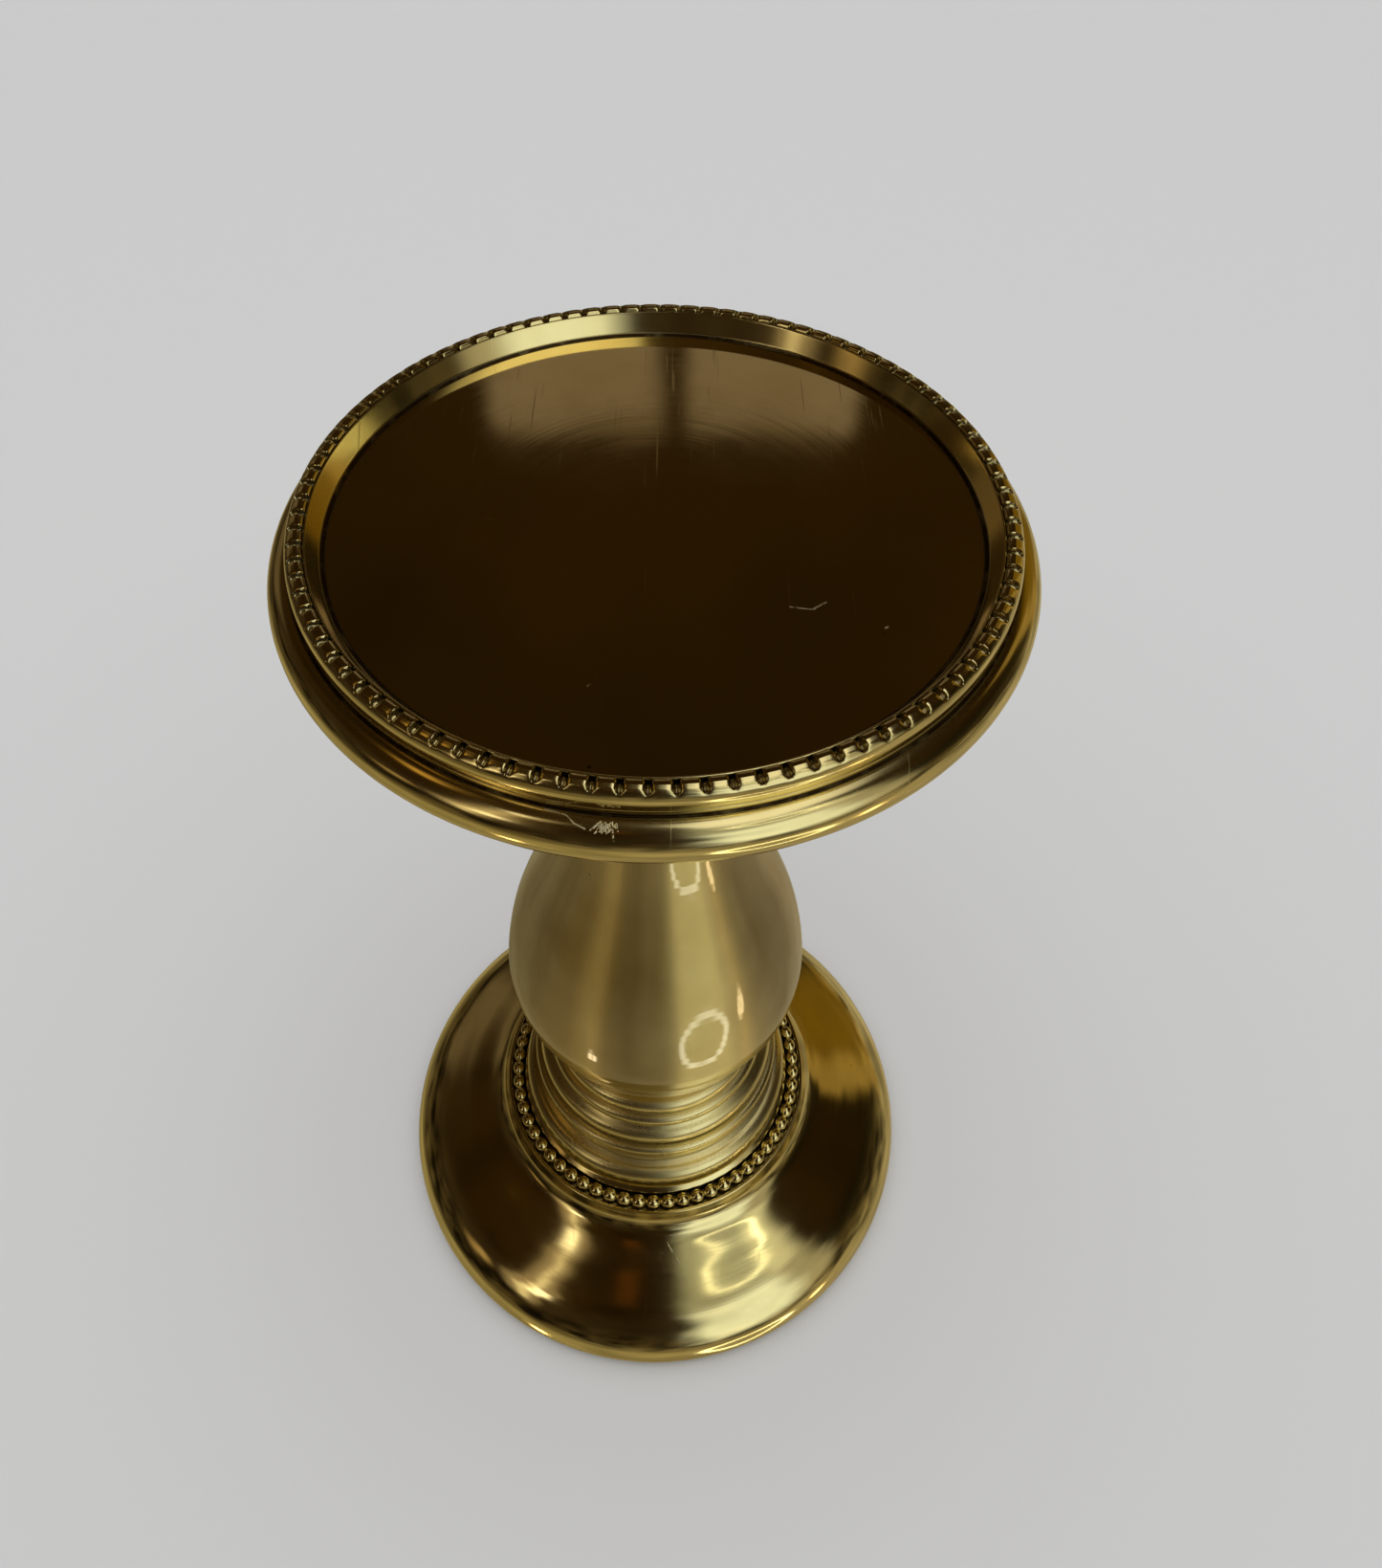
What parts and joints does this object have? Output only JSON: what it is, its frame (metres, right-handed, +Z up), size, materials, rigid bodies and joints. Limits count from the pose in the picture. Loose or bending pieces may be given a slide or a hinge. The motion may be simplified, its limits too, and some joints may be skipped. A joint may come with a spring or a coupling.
{
  "type": "pillar candle holder",
  "caption": "Free-standing turned brass holder for a pillar candle, with a shallow beaded pan on a pear-shaped stem and a domed, beaded foot.",
  "frame": {"origin": "middle of the surface the holder stands on, under the centre of the foot", "axes": "+Z up along the axis of the turned stem, +X and +Y level"},
  "size_m": [0.0968, 0.0968, 0.1658],
  "materials": {
    "pan_brass": "mirror-polished and lacquered, fine scratches",
    "pan_bead_brass": "polished, darker in the cuts",
    "stem_brass": "polished",
    "vase_brass": "soft satin polish with upright brush streaks",
    "neck_brass": "polished",
    "foot_bead_brass": "polished, darker between the beads",
    "foot_brass": "mirror-polished and lacquered outside, as cast inside",
    "felt": "pressed wool felt",
    "rod_steel": "zinc-plated thread",
    "washer_steel": "zinc-plated",
    "nut_steel": "zinc-plated"
  },
  "bodies": {
    "root": {"candle_pan": "pan_brass", "pan_bead_border": "pan_bead_brass", "pan_support": "stem_brass", "stem_top_collar": "stem_brass", "vase": "vase_brass", "neck_ring_upper": "neck_brass", "neck_ring_middle": "neck_brass", "neck_collar": "neck_brass", "foot_bead_border": "foot_bead_brass", "foot": "foot_brass", "felt_ring": "felt", "tie_rod": "rod_steel", "base_washer": "washer_steel", "lock_washer": "washer_steel", "tie_nut": "nut_steel"}
  },
  "joints": []
}
